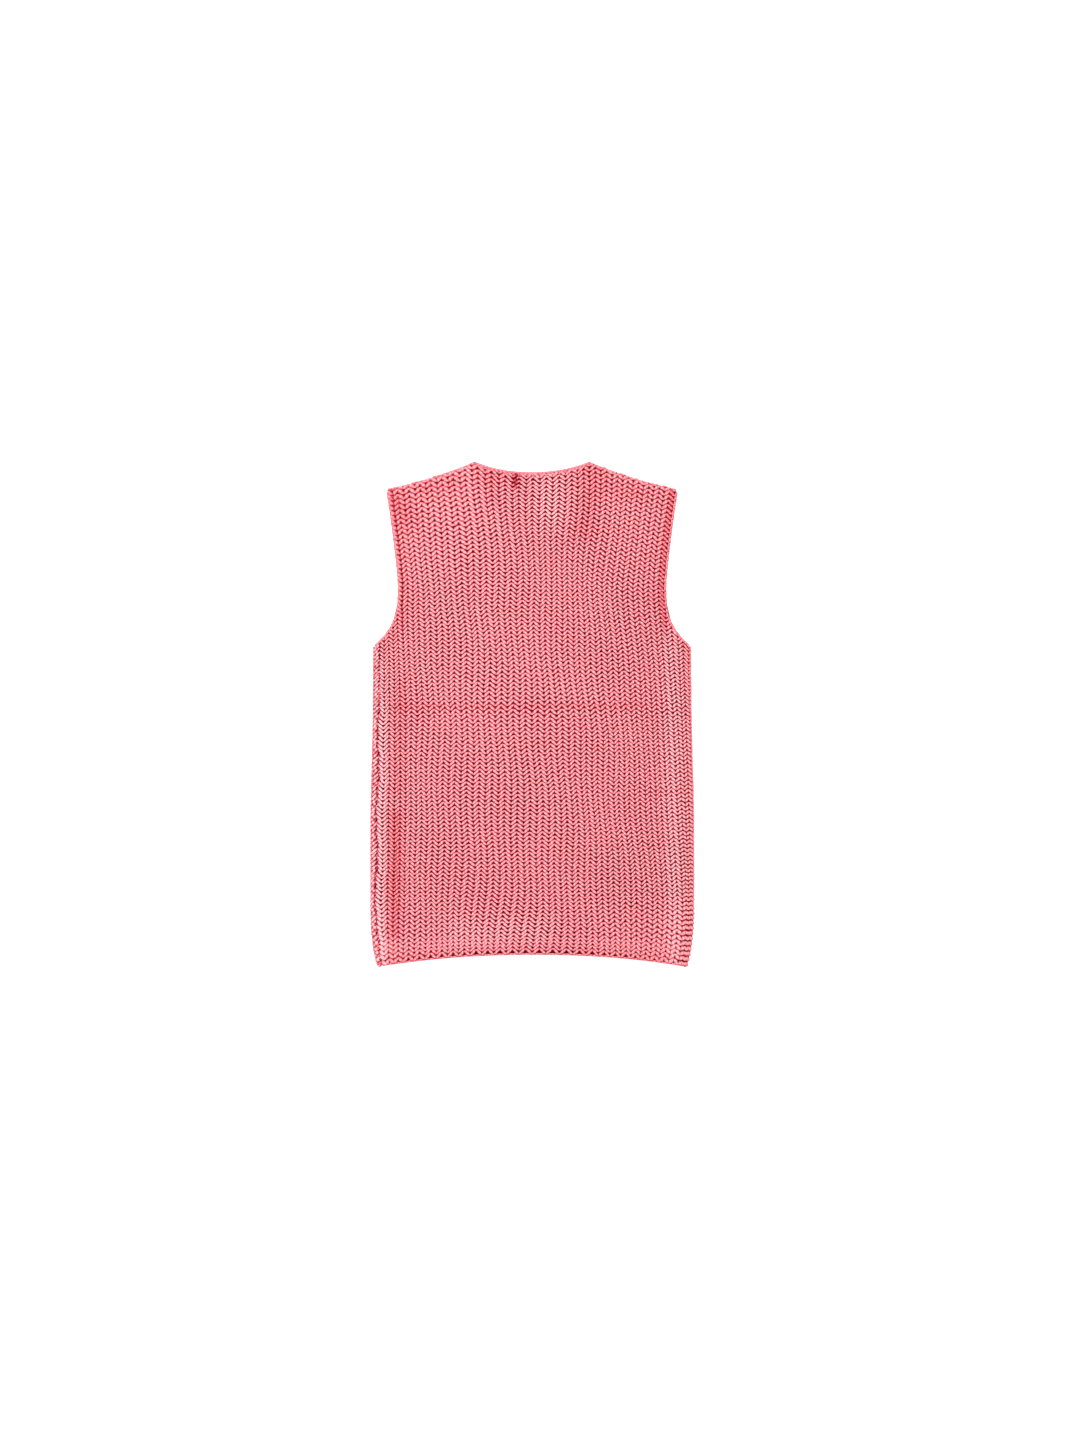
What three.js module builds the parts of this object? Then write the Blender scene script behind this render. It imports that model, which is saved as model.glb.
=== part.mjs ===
// A chunky rib-knit sweater vest laid flat with its back up: two knitted panels, back and front, seamed at
// the sides and along the shoulders. Millimetres; +X is to the right as seen from above, +Y runs up the body
// from the hem to the neck, +Z is up. The origin is under the middle of the garment, on the surface it lies on.
import * as THREE from 'three';

// Driving dimensions of the outline
const HEM_HALF = 204.0;          // half width at the hem's corners
const UNDERARM_HALF = 210.0;     // half width of the body at the underarm corners
const CHEST_HALF = 177.0;        // half width at the narrowest place between the armholes
const SHOULDER_HALF = 192.5;     // half width at the shoulder tips
const NECK_HALF = 75.7;          // half width of the neck opening
const HEM_CORNER_Y = -332.6;
const HEM_MIDDLE_Y = -316.6;
const UNDERARM_Y = 89.0;
const CHEST_Y = 170.0;
const SHOULDER_TIP_Y = 297.0;
const NECK_POINT_Y = 333.2;
const BACK_NECK_Y = 319.3;
const FRONT_NECK_Y = 256.0;      // the hidden front neckline, a plain round one
const FRONT_INSET = 2.5;         // how far the front's free edges lie inside the back's, which hide them

// Driving dimensions of the cloth
const FRONT_WALL = 4.0;          // the front lies flat under the back, with no relief on its rested side
const BACK_WALL = 3.2;           // thickness between the ribs
const RIB_RELIEF = 1.8;          // how far a rib stands above the valleys beside it
const LAYER_GAP = 2.2;           // between the two layers, where nothing presses or lifts the back
const LEAST_GAP = 0.45;
const HALF_SEAM = 0.15;          // half of the gap between the panels at a seam

// The bend where the cloth turns from one layer to the other, at the sides and along the shoulders
const BEND_INNER = LAYER_GAP / 2;
const BEND_Z = FRONT_WALL + BEND_INNER;
const BEND_OUTER = BEND_INNER + FRONT_WALL;
const QUARTER = Math.PI / 2;

// Rib columns are counted from the left. The valleys between ribs are at whole numbers.
const SEAM_COLUMN = -1;          // the left side seam, which lies on top, just inside the fold
const LEFT_COLUMN = 1;           // these two run up along the armholes
const RIGHT_COLUMN = 25.75;
const BEND_COLUMN = 28;          // the right side seam, half way round the fold
const STEPS_PER_RIB = 4;
const SKEW = 0.02;               // how far the middle ribs lie to the right, as a share of the width

// One row for each section of the body: its height, half width, left seam, and the two armhole columns
const SECTIONS = [
  { y: -333, half: 204.0, seam: -196.8, left: -176.0, right: 194.0 },
  { y: -322, half: 207.3, seam: -199.8, left: -176.5, right: 197.0 },
  { y: -308, half: 210.1, seam: -202.4, left: -176.5, right: 199.0 },
  { y: -280, half: 213.0, seam: -204.8, left: -176.0, right: 201.0 },
  { y: -231, half: 213.5, seam: -205.5, left: -174.5, right: 201.0 },
  { y: -126, half: 213.4, seam: -204.0, left: -173.5, right: 195.0 },
  { y: -20, half: 210.8, seam: -202.0, left: -173.5, right: 190.0 },
  { y: 60, half: 210.0, seam: -201.0, left: -175.0, right: 184.5 },
  { y: 144, half: 210.0, seam: -200.0, left: -178.2, right: 178.2 },
];

// One row for each fold: the line it follows, how wide and how high it is; a trough has a height below zero
const FOLDS = [
  { name: 'storage crease', x0: -186, y0: 10, x1: 150, y1: 12, width: 6.5, height: -1.4 },
  { name: 'left trough', x0: -181, y0: -288, x1: -178, y1: -135, width: 9, height: -2.1 },
  { name: 'left trough, upper end', x0: -176, y0: -105, x1: -172, y1: 38, width: 8, height: -0.9 },
  { name: 'left roll', x0: -203, y0: -322, x1: -200, y1: 66, width: 10, height: 1.3 },
  { name: 'right ridge', x0: 189, y0: -322, x1: 184, y1: 104, width: 13, height: 1.5 },
  { name: 'right ridge crease', x0: 152, y0: -104, x1: 200, y1: -100, width: 5, height: -0.7 },
  { name: 'neck swell', x0: 23, y0: 312, x1: 25, y1: 266, width: 24, height: 1.7 },
  { name: 'neck pinch', x0: -20.5, y0: 322, x1: -22, y1: 303, width: 3.4, height: -1.8 },
  { name: 'trough beside the pinch', x0: -56, y0: 308, x1: -50, y1: 282, width: 12, height: -0.8 },
  { name: 'right yoke trough', x0: 86, y0: 322, x1: 66, y1: 240, width: 15, height: -1.5 },
  { name: 'right shoulder hollow', x0: 105, y0: 300, x1: 150, y1: 290, width: 13, height: -0.8 },
  { name: 'left shoulder tip hollow', x0: -176, y0: 280, x1: -166, y1: 262, width: 17, height: -1.4 },
  { name: 'left shoulder hollow', x0: -142, y0: 298, x1: -104, y1: 305, width: 12, height: -1.0 },
  { name: 'left yoke swell', x0: -78, y0: 236, x1: -64, y1: 110, width: 64, height: 0.8 },
  { name: 'hem swell', x0: -92, y0: -287, x1: 12, y1: -283, width: 20, height: 1.1 },
];
const SETTLED = 1.5;             // how far the back's free edges sink towards the front
const SETTLE_REACH = 12.0;       // over this distance from the edge
const EDGE_ROUND = 1.1;          // how much thinner the cloth is at a free edge
const EDGE_ROUND_REACH = 2.6;

// Where the panels' rings lie, from the hem up
const HEM_RINGS = [0, 3, 14];                        // millimetres above the hem
const BODY_RINGS = [-292, -240, -180, -126, -78, -36, -6, 4, 11, 18, 28, 62];
const UNDERARM_RINGS = [0.3, 0.58, 0.82, 1];         // shares of the way to the armhole
const YOKE_RINGS = [0.15, 0.3, 0.46, 0.62, 0.75, 0.85, 0.93, 1];   // shares of the way on to the shoulder's bend
const TOP_ANGLES = [QUARTER / 2, QUARTER];           // round the bend to the shoulder seam
const LAST_BODY_RING = HEM_RINGS.length + BODY_RINGS.length - 1;
const ARMHOLE_RING = LAST_BODY_RING + UNDERARM_RINGS.length;
const BEND_RING = ARMHOLE_RING + YOKE_RINGS.length;
const TOP_RING = BEND_RING + TOP_ANGLES.length;

const mix = (a, b, t) => a + (b - a) * t;
const clamp = (v, low, high) => Math.min(high, Math.max(low, v));

function ease(low, high, v) {
  const t = clamp((v - low) / (high - low), 0, 1);
  return t * t * (3 - 2 * t);
}

// A named column of SECTIONS at a height, on a smooth curve through its rows
function section(column, y) {
  const last = SECTIONS.length - 1;
  if (y <= SECTIONS[0].y) return SECTIONS[0][column];
  if (y >= SECTIONS[last].y) return SECTIONS[last][column];
  const k = SECTIONS.findIndex((row) => row.y > y);
  const slope = (row) => {
    const [below, above] = [SECTIONS[Math.max(row - 1, 0)], SECTIONS[Math.min(row + 1, last)]];
    return (above[column] - below[column]) / (above.y - below.y);
  };
  const span = SECTIONS[k].y - SECTIONS[k - 1].y;
  const t = (y - SECTIONS[k - 1].y) / span;
  const rise = t * t * (3 - 2 * t);
  const bow = span * t * (1 - t) * (slope(k - 1) * (1 - t) - slope(k) * t);
  return mix(SECTIONS[k - 1][column], SECTIONS[k][column], rise) + bow;
}

// The outline, as heights over x and half widths over y
const hemY = (x) => HEM_MIDDLE_Y + (HEM_CORNER_Y - HEM_MIDDLE_Y) * Math.abs(x / HEM_HALF) ** 2.1;

function shoulderY(x) {
  const t = clamp((Math.abs(x) - NECK_HALF) / (SHOULDER_HALF - NECK_HALF), 0, 1);
  return mix(NECK_POINT_Y, SHOULDER_TIP_Y, t) - 3 * Math.sin(Math.PI * t);
}

function topY(x, neckY, power) {
  const t = Math.abs(x) / NECK_HALF;
  return t < 1 ? mix(neckY, NECK_POINT_Y, t ** power) : shoulderY(x);
}

const UNDERARM_DEPTH = UNDERARM_HALF - CHEST_HALF;
const ARMHOLE_SPLIT_X = 178.2;   // where the armhole columns leave the body's sides

function armholeY(x) {
  const t = clamp((Math.abs(x) - CHEST_HALF) / UNDERARM_DEPTH, 0, 1);
  return UNDERARM_Y + (CHEST_Y - UNDERARM_Y) * (1 - Math.cbrt(t));
}

function armholeHalf(y) {
  if (y > CHEST_Y) {
    const t = (y - CHEST_Y) / (SHOULDER_TIP_Y - CHEST_Y);
    return CHEST_HALF + (SHOULDER_HALF - CHEST_HALF) * t ** 1.3;
  }
  return CHEST_HALF + UNDERARM_DEPTH * (1 - (y - UNDERARM_Y) / (CHEST_Y - UNDERARM_Y)) ** 3;
}

const SPLIT_Y = armholeY(ARMHOLE_SPLIT_X);

// How much higher or lower the back lies than it would with no folds
function loft(x, y) {
  let lift = 0;
  for (const fold of FOLDS) {
    const dx = fold.x1 - fold.x0;
    const dy = fold.y1 - fold.y0;
    const t = clamp(((x - fold.x0) * dx + (y - fold.y0) * dy) / (dx * dx + dy * dy), 0, 1);
    const away = Math.hypot(x - fold.x0 - t * dx, y - fold.y0 - t * dy) / fold.width;
    lift += fold.height * Math.exp(-away * away);
  }
  return lift - SETTLED * Math.exp(-edgeDistance(x, y, BACK_NECK_Y, 2.2) / SETTLE_REACH);
}

// Distance to the nearest free edge: hem, armhole or neckline
function edgeDistance(x, y, neckY, power) {
  const toHem = y - hemY(x);
  const toArmhole = y > UNDERARM_Y ? Math.abs(armholeHalf(y) - Math.abs(x)) : Infinity;
  const toUnderarm = Math.abs(x) > CHEST_HALF ? Math.abs(armholeY(x) - y) : Infinity;
  const toNeck = Math.abs(x) < NECK_HALF ? topY(x, neckY, power) - y : Infinity;
  return Math.max(0, Math.min(toHem, toArmhole, toUnderarm, toNeck));
}

// 0 in the valleys and 1 on the ribs, which are round and take most of a column
function ribHeight(column) {
  const t = column - Math.floor(column);
  return Math.sin(Math.PI * t) ** 0.7;
}

// The bend's centre line at a height: the outline less the bend's outer radius
const bendX = (y) => section('half', y) - BEND_OUTER;

// Where a rib column of the back runs at a height: x on the top, going on round the right-hand fold
function columnX(column, y) {
  const half = y > SPLIT_Y ? armholeHalf(y) : 0;
  const left = half ? -half : section('left', y);
  const right = half || section('right', y);
  if (column < LEFT_COLUMN) {
    return mix(section('seam', y), left, (column - SEAM_COLUMN) / (LEFT_COLUMN - SEAM_COLUMN));
  }
  if (column > RIGHT_COLUMN) {
    const end = bendX(y) + BEND_OUTER * QUARTER;
    return mix(right, end, (column - RIGHT_COLUMN) / (BEND_COLUMN - RIGHT_COLUMN));
  }
  const s = (column - LEFT_COLUMN) / (RIGHT_COLUMN - LEFT_COLUMN);
  const spread = 0.05 + 0.08 * ease(-60, -300, y) + 0.03 * ease(180, 300, y);
  const wider = (spread * Math.sin(2 * Math.PI * s)) / (2 * Math.PI);    // the middle ribs are the widest
  return mix(left, right, s - wider + SKEW * Math.sin(Math.PI * s) ** 2);
}

// The height of ring i on the line that place(y) follows in plan
function ringY(i, place, top, inset) {
  if (i < HEM_RINGS.length) return hemY(place(HEM_MIDDLE_Y)) + inset + HEM_RINGS[i];
  if (i <= LAST_BODY_RING) return BODY_RINGS[i - HEM_RINGS.length];
  if (i <= ARMHOLE_RING) {
    const from = BODY_RINGS[BODY_RINGS.length - 1];
    let end = SPLIT_Y;
    for (let k = 0; k < 4; k += 1) end = Math.min(SPLIT_Y, armholeY(place(end)));
    return mix(from, end - inset * ease(ARMHOLE_SPLIT_X - 1, ARMHOLE_SPLIT_X + 3, Math.abs(place(end))),
      UNDERARM_RINGS[i - LAST_BODY_RING - 1]);
  }
  let end = top(place(NECK_POINT_Y));
  for (let k = 0; k < 3; k += 1) end = top(place(end));
  return mix(SPLIT_Y, end - BEND_OUTER, YOKE_RINGS[Math.min(i, BEND_RING) - ARMHOLE_RING - 1]);
}

// A closed wall from a grid of columns and rings. The outer face has every column, the inner one only those in
// coarse, so that it stays plain. lives(J, i) says whether the wall has the cell right of coarse column J.
function wall(columns, coarse, lives, outer, inner, faceUp) {
  const points = [];
  const index = new Map();
  const vertex = (kind, f, i) => {
    const key = `${kind},${f},${i}`;
    if (!index.has(key)) {
      index.set(key, points.length);
      points.push(kind === 'outer' ? outer(columns[f], i) : inner(columns[f], i));
    }
    return index.get(key);
  };
  const triangles = [];
  const face = (a, b, c) => triangles.push(...(faceUp ? [a, b, c] : [a, c, b]));
  const quad = (a, b, c, d) => {
    face(a, b, c);
    face(a, c, d);
  };
  for (let J = 0; J + 1 < coarse.length; J += 1) {
    const [f0, f1] = [coarse[J], coarse[J + 1]];
    for (let i = 0; i < TOP_RING; i += 1) {
      if (!lives(J, i)) continue;
      for (let f = f0; f < f1; f += 1) {
        quad(vertex('outer', f, i), vertex('outer', f + 1, i), vertex('outer', f + 1, i + 1), vertex('outer', f, i + 1));
      }
      const [a, b] = [vertex('inner', f0, i), vertex('inner', f1, i)];
      const [c, d] = [vertex('inner', f1, i + 1), vertex('inner', f0, i + 1)];
      quad(a, d, c, b);
      const middle = f0 + Math.ceil((f1 - f0) / 2);
      if (!lives(J, i - 1)) {
        for (let f = f0; f < f1; f += 1) {
          face(vertex('outer', f + 1, i), vertex('outer', f, i), f < middle ? a : b);
        }
        face(vertex('outer', middle, i), a, b);
      }
      if (!lives(J, i + 1)) {
        for (let f = f0; f < f1; f += 1) {
          face(vertex('outer', f, i + 1), vertex('outer', f + 1, i + 1), f < middle ? d : c);
        }
        face(vertex('outer', middle, i + 1), c, d);
      }
      if (!lives(J - 1, i)) quad(vertex('outer', f0, i), vertex('outer', f0, i + 1), d, a);
      if (!lives(J + 1, i)) quad(vertex('outer', f1, i + 1), vertex('outer', f1, i), b, c);
    }
  }
  const geometry = new THREE.BufferGeometry();
  geometry.setAttribute('position', new THREE.Float32BufferAttribute(points.flat(), 3));
  geometry.setIndex(triangles);
  geometry.computeVertexNormals();
  return geometry;
}

// Which way a point goes round the bend along the shoulder, and how much of the bend there is beside the neck
const topAngle = (i) => (i > BEND_RING ? TOP_ANGLES[i - BEND_RING - 1] : 0);
const shoulderShare = (x) => ease(NECK_HALF - 5, NECK_HALF + 3, Math.abs(x));

// Height and reach of a wall's face at radius rho from the bend's centre line, up (side 1) or down (side -1)
function bent(rho, angle, side) {
  return { out: rho * Math.sin(angle), z: side * Math.max(rho * Math.cos(angle), HALF_SEAM) };
}

// A point of the back, thick from its inner face. The face lies flat, turns down round the right-hand fold to
// the side seam there, and turns down along the shoulders.
function backPoint(column, i, thick) {
  const place = (y) => Math.min(columnX(column, y), section('half', y));
  const y = ringY(i, place, (x) => topY(x, BACK_NECK_Y, 2.2), 0);
  const along = columnX(column, y);
  const fold = y > SPLIT_Y ? Infinity : bendX(y);
  const sideAngle = clamp((along - fold) / BEND_OUTER, 0, QUARTER);
  const flatX = Math.min(along, fold) + (column === SEAM_COLUMN ? HALF_SEAM : 0);
  const share = shoulderShare(flatX);
  const gap = LAYER_GAP + loft(flatX, y);
  const lifted = Math.max(gap, LEAST_GAP) - LAYER_GAP;
  const round = EDGE_ROUND * Math.exp(-((edgeDistance(flatX, y, BACK_NECK_Y, 2.2) / EDGE_ROUND_REACH) ** 2));
  const free = thick ? thick - (i > BEND_RING ? round * (1 - share) : round) : 0;
  const side = bent(BEND_INNER + free, sideAngle, 1);
  const angle = topAngle(i);
  const over = bent(BEND_INNER + free, angle, 1);
  const z = sideAngle > 0 ? side.z : mix(BEND_INNER + free, over.z, share);
  const reach = BEND_OUTER * Math.sin(angle);
  const rise = mix(reach, over.out, share);
  const flat = Math.cos(Math.max(sideAngle, angle * share)) ** 2;
  return [flatX + side.out, y + rise, BEND_Z + z + lifted * flat];
}

function backGeometry() {
  const columns = [];
  for (let k = 0; k <= (BEND_COLUMN - SEAM_COLUMN) * STEPS_PER_RIB; k += 1) {
    columns.push(SEAM_COLUMN + k / STEPS_PER_RIB);
  }
  const splits = [SEAM_COLUMN, LEFT_COLUMN, RIGHT_COLUMN, BEND_COLUMN];
  const coarse = columns.flatMap((c, f) => (Number.isInteger(c) || splits.includes(c) ? [f] : []));
  const inYoke = (J) => columns[coarse[J]] >= LEFT_COLUMN && columns[coarse[J + 1]] <= RIGHT_COLUMN;
  const lives = (J, i) => J >= 0 && J + 1 < coarse.length && i >= 0 && i < TOP_RING
    && (i < ARMHOLE_RING || inYoke(J));
  const outer = (column, i) => backPoint(column, i, BACK_WALL + RIB_RELIEF * ribHeight(column));
  const inner = (column, i) => backPoint(column, i, 0);
  return wall(columns, coarse, lives, outer, inner, true);
}

// The front's columns. Under the garment they run from the right-hand fold to the left-hand one, and then go
// up round the left fold and over the top to the seam there, where the cloth has ribs again.
const FRONT_RIGHT_ANGLES = [QUARTER, 1.25 * QUARTER, 1.6 * QUARTER];
const FRONT_SIDE_SHARES = [0, 0.5];
const FRONT_SPANS = 18;
const FRONT_LEFT_ANGLES = [2, 1.66, 1.33, 1, 0.75, 0.5, 0.25, 0].map((turn) => turn * QUARTER);

function frontColumns() {
  const columns = FRONT_RIGHT_ANGLES.map((angle) => ({ kind: 'right', angle }));
  columns.push(...FRONT_SIDE_SHARES.map((share) => ({ kind: 'rightSide', share })));
  for (let k = 0; k <= FRONT_SPANS; k += 1) columns.push({ kind: 'middle', share: 1 - (2 * k) / FRONT_SPANS });
  columns.push({ kind: 'leftSide', share: 0.5 });
  columns.push(...FRONT_LEFT_ANGLES.map((angle) => ({ kind: 'left', angle })));
  columns.push({ kind: 'seam' });
  return columns;
}

// x on the flat underside; the neck's two points keep the same column all the way up
function frontMiddleX(share, y) {
  const edge = y > SPLIT_Y ? armholeHalf(y) - FRONT_INSET : ARMHOLE_SPLIT_X - FRONT_INSET;
  const neckShare = 8 / FRONT_SPANS;
  const s = Math.abs(share);
  const x = s < neckShare ? (NECK_HALF * s) / neckShare : mix(NECK_HALF, edge, (s - neckShare) / (1 - neckShare));
  return Math.sign(share) * x;
}

function frontPlace(column, y) {
  const reach = bendX(y);
  const split = ARMHOLE_SPLIT_X - FRONT_INSET;
  if (column.kind === 'middle') return frontMiddleX(column.share, y);
  if (column.kind === 'rightSide') return mix(reach, split, column.share);
  if (column.kind === 'leftSide') return -mix(reach, split, column.share);
  return column.kind === 'right' ? reach : -reach;
}

function frontPoint(column, i, thick, rib) {
  const wraps = column.kind === 'seam' || column.kind === 'left';
  const place = (y) => {
    if (column.kind === 'seam') return section('seam', y);
    return wraps || column.kind === 'right'
      ? frontPlace(column, y) + Math.sign(frontPlace(column, y)) * BEND_OUTER * Math.sin(column.angle)
      : frontPlace(column, y);
  };
  const top = (x) => topY(x, FRONT_NECK_Y, 2.6);
  const onTop = wraps && (column.kind === 'seam' || column.angle < QUARTER);
  const y = ringY(i, place, top, onTop ? 0 : FRONT_INSET);
  const x = frontPlace(column, y);
  if (column.kind === 'right' || wraps) {
    const angle = column.kind === 'seam' ? 0 : column.angle;
    const cloth = thick ? mix(BACK_WALL + RIB_RELIEF * rib, thick, ease(QUARTER, 2 * QUARTER, angle)) : 0;
    const rho = BEND_INNER + cloth;
    const sign = column.kind === 'right' ? 1 : -1;
    const z = rho * Math.cos(angle);
    const flatX = column.kind === 'seam' ? section('seam', y) - HALF_SEAM : x;
    const lift = Math.max(loft(flatX, y), LEAST_GAP - LAYER_GAP) * Math.max(0, Math.cos(angle));
    const seamZ = column.kind === 'right' && angle === QUARTER ? -HALF_SEAM : z;
    return [flatX + sign * rho * Math.sin(angle), y, BEND_Z + seamZ + lift];
  }
  const share = shoulderShare(x);
  const angle = topAngle(i);
  const rho = BEND_INNER + thick;
  const over = bent(rho, angle, -1);
  return [x, y + mix(BEND_OUTER * Math.sin(angle), over.out, share), BEND_Z + mix(-rho, over.z, share)];
}

function frontGeometry() {
  const columns = frontColumns();
  const coarse = columns.map((_, f) => f);
  const inYoke = (J) => columns[J].kind === 'middle' && columns[J + 1].kind === 'middle';
  const lives = (J, i) => J >= 0 && J + 1 < coarse.length && i >= 0 && i < TOP_RING
    && (i < ARMHOLE_RING || inYoke(J));
  const foldRib = (column) => (column.kind === 'left' && column.angle < 2 * QUARTER ? Math.sin(column.angle + 0.6) ** 2 : 0);
  const outer = (column, i) => frontPoint(column, i, FRONT_WALL, foldRib(column));
  const inner = (column, i) => frontPoint(column, i, 0, 0);
  return wall(columns, coarse, lives, outer, inner, true);
}

function panel(name, geometry, colour) {
  const material = new THREE.MeshStandardMaterial({ color: colour, roughness: 0.6, metalness: 0 });
  const mesh = new THREE.Mesh(geometry, material);
  mesh.name = name;
  return mesh;
}

const vest = new THREE.Group();
vest.add(panel('back_panel', backGeometry(), 0xed8a8f));
vest.add(panel('front_panel', frontGeometry(), 0xe8848a));

export default vest;
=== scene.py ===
"""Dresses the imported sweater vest: two panels knitted row by row from real yarn, lying flat on a pale floor
and seen from straight above. The garment's formulas are in millimetres and every mesh is in metres."""
import math

import bpy
import numpy as np
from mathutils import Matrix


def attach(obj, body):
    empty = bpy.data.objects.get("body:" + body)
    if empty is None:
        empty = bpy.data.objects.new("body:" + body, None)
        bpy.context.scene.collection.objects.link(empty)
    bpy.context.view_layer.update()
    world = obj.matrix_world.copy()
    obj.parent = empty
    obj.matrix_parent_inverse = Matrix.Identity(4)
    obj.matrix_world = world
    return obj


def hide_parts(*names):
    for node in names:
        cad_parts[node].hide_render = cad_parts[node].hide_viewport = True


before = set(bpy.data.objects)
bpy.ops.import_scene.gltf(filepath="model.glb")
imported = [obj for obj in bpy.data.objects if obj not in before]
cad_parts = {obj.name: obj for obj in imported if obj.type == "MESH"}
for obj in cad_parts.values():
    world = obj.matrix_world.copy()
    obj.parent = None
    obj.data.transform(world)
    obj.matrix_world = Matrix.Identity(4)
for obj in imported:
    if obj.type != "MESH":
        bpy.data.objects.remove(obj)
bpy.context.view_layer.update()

SEED = 11
MM = 0.001
PX_MM = 1.3166                  # millimetres on the garment for a pixel of the photograph
FRAME_LONG_PX = 1430
FAR = 1e3                       # further than any place on the garment

# The outline, as in the CAD model
HEM_HALF = 204.0
UNDERARM_HALF = 210.0
CHEST_HALF = 177.0
SHOULDER_HALF = 192.5
NECK_HALF = 75.7
HEM_CORNER_Y = -332.6
HEM_MIDDLE_Y = -316.6
UNDERARM_Y = 89.0
CHEST_Y = 170.0
SHOULDER_TIP_Y = 297.0
NECK_POINT_Y = 333.2
BACK_NECK_Y = 319.3
FRONT_NECK_Y = 256.0
FRONT_INSET = 2.5
SPLIT_X = 178.2
HEM_POWER = 2.1                 # the powers of the outline's curves: each is flat at first and then turns
BACK_NECK_POWER = 2.2
FRONT_NECK_POWER = 2.6
ARMHOLE_POWER = 1.3
SHOULDER_SAG = 3.0

# The cloth, as in the CAD model
FRONT_WALL = 4.0
BACK_WALL = 3.2
RIB_RELIEF = 1.8
LAYER_GAP = 2.2
LEAST_GAP = 0.45
BEND_INNER = LAYER_GAP / 2
BEND_Z = FRONT_WALL + BEND_INNER
BEND_OUTER = BEND_INNER + FRONT_WALL
BACK_Z = BEND_Z + BEND_INNER    # the back's inner face where nothing presses or lifts it
QUARTER = math.pi / 2
SEAM_COLUMN = -1.0
LEFT_COLUMN = 1.0
RIGHT_COLUMN = 25.75
BEND_COLUMN = 28.0
SKEW = 0.02
SPREAD = 0.05                   # how much wider the middle ribs are than the outer ones
HEM_SPREAD = 0.08               # and how much more than that near the hem and near the shoulders
YOKE_SPREAD = 0.03
SHOULDER_START = NECK_HALF - 5  # where the cloth begins to bend over the shoulder
SHOULDER_FULL = NECK_HALF + 3   # and where it is bent fully
LEAST_STRIP = 0.2

SECTIONS = {
    "y": [-333, -322, -308, -280, -231, -126, -20, 60, 144],
    "half": [204.0, 207.3, 210.1, 213.0, 213.5, 213.4, 210.8, 210.0, 210.0],
    "seam": [-196.8, -199.8, -202.4, -204.8, -205.5, -204.0, -202.0, -201.0, -200.0],
    "left": [-176.0, -176.5, -176.5, -176.0, -174.5, -173.5, -173.5, -175.0, -178.2],
    "right": [194.0, 197.0, 199.0, 201.0, 201.0, 195.0, 190.0, 184.5, 178.2],
}

# One row for each fold: x0, y0, x1, y1 of its line, its width and its height. They are the CAD model's folds,
# with the storage crease, the right yoke trough and the left yoke swell lower, as the painted shade and light
# in the yarn's colour show them too
FOLDS = [
    (-186, 10, 150, 12, 5, -0.7),         # storage crease
    (-181, -288, -178, -135, 9, -2.1),    # left trough
    (-176, -105, -172, 38, 8, -0.9),      # left trough, upper end
    (-203, -322, -200, 66, 10, 1.3),      # left roll
    (189, -322, 184, 104, 13, 1.5),       # right ridge
    (152, -104, 200, -100, 5, -0.7),      # right ridge crease
    (23, 312, 25, 266, 24, 1.7),          # neck swell
    (-20.5, 322, -22, 303, 3.4, -1.8),    # neck pinch
    (-56, 308, -50, 282, 12, -0.8),       # trough beside the pinch
    (86, 322, 66, 240, 15, -1.1),         # right yoke trough
    (105, 300, 150, 290, 13, -0.8),       # right shoulder hollow
    (-176, 280, -166, 262, 17, -1.4),     # left shoulder tip hollow
    (-142, 298, -104, 305, 12, -1.0),     # left shoulder hollow
    (-78, 236, -64, 110, 64, 0.2),        # left yoke swell
    (-92, -287, 12, -283, 20, 1.1),       # hem swell
]
SETTLED = 1.5                   # how far the back's free edges sink towards the front
SETTLE_REACH = 12.0             # over this distance from the edge
PINCH = (-20.5, 318, -22.3, 300)      # the line of the neck pinch's painted shade
PINCH_WIDTH = 1.8

# The rows of the knit
PITCH_Y = [-317, -220, -150, -60, 10, 50, 100, 200, 256, 330]
ROW_PITCH = [5.35, 5.36, 5.48, 5.54, 5.86, 5.8, 5.6, 5.45, 5.38, 5.35]
FIRST_ROW = 1.6                 # the lowest row over the hem's line
ROWS_PAST_TOP = 24.0
HEM_REACH = 90.0                # how far up the rows still follow the hem's curve
CREASE_Y = 2.0
CREASE_OPEN = 0.35              # how much further apart the rows are along the storage crease
CREASE_REACH = 6.5
ROW_SAG = 10.0                  # how far the rows sag beside the armholes
SAG_HALF = 179.0
LEFT_CLIMB = 12.0               # how far they rise towards each shoulder, above CLIMB_START
RIGHT_CLIMB = 6.0
CLIMB_START = 150.0
CLIMB_SPAN = 119.0
RIGHT_RISE = 2.3
ROW_JITTER = 0.12               # how unevenly a row runs up and down the body
LOFT_JITTER = 0.1               # and over the cloth
RIB_JITTER = 0.012              # and sideways, in columns

# Slow waves in the places of the seam, the ribs and the rows. One row for each wave: its height, its length,
# how it slants against the other direction, and where it starts. The ribs' heights are in columns
SEAM_WAVES = [(1.7, 17.0, 0.0, 0.0), (0.9, 4.7, 0.0, 1.0)]
RIB_WAVES = [(0.09, 23.0, 0.5, 0.0), (0.09, 51.0, -0.3, 1.9)]
ROW_WAVES = [(0.45, 31.0, 1 / 57, 0.0), (0.3, 12.5, -1 / 41, 2.0)]

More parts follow.
